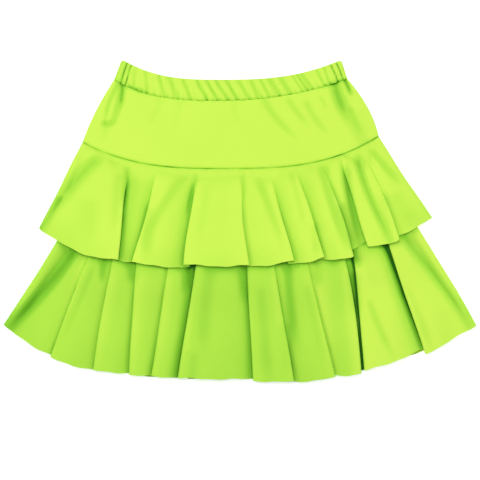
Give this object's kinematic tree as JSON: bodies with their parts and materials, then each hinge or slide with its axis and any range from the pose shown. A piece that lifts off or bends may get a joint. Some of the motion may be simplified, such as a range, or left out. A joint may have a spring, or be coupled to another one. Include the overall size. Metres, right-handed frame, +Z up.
{
  "type": "mini skirt",
  "caption": "Elastic-waist mini skirt in bright green stretch knit, a plain hip yoke above two flared ruffle tiers, laid flat with its front up.",
  "frame": {"origin": "under the middle of the whole skirt, on the surface that it lies on", "axes": "+X towards the right of the picture, +Y towards the waist, +Z up from the surface"},
  "size_m": [0.5914, 0.4022, 0.0294],
  "materials": {
    "knit": "matt stretch knit"
  },
  "bodies": {
    "root": {"waistband_front": "knit", "waistband_back": "knit", "yoke_front": "knit", "yoke_back": "knit", "underskirt_front": "knit", "underskirt_back": "knit", "upper_ruffle_front": "knit", "upper_ruffle_back": "knit", "lower_ruffle_front": "knit", "lower_ruffle_back": "knit"}
  },
  "joints": []
}
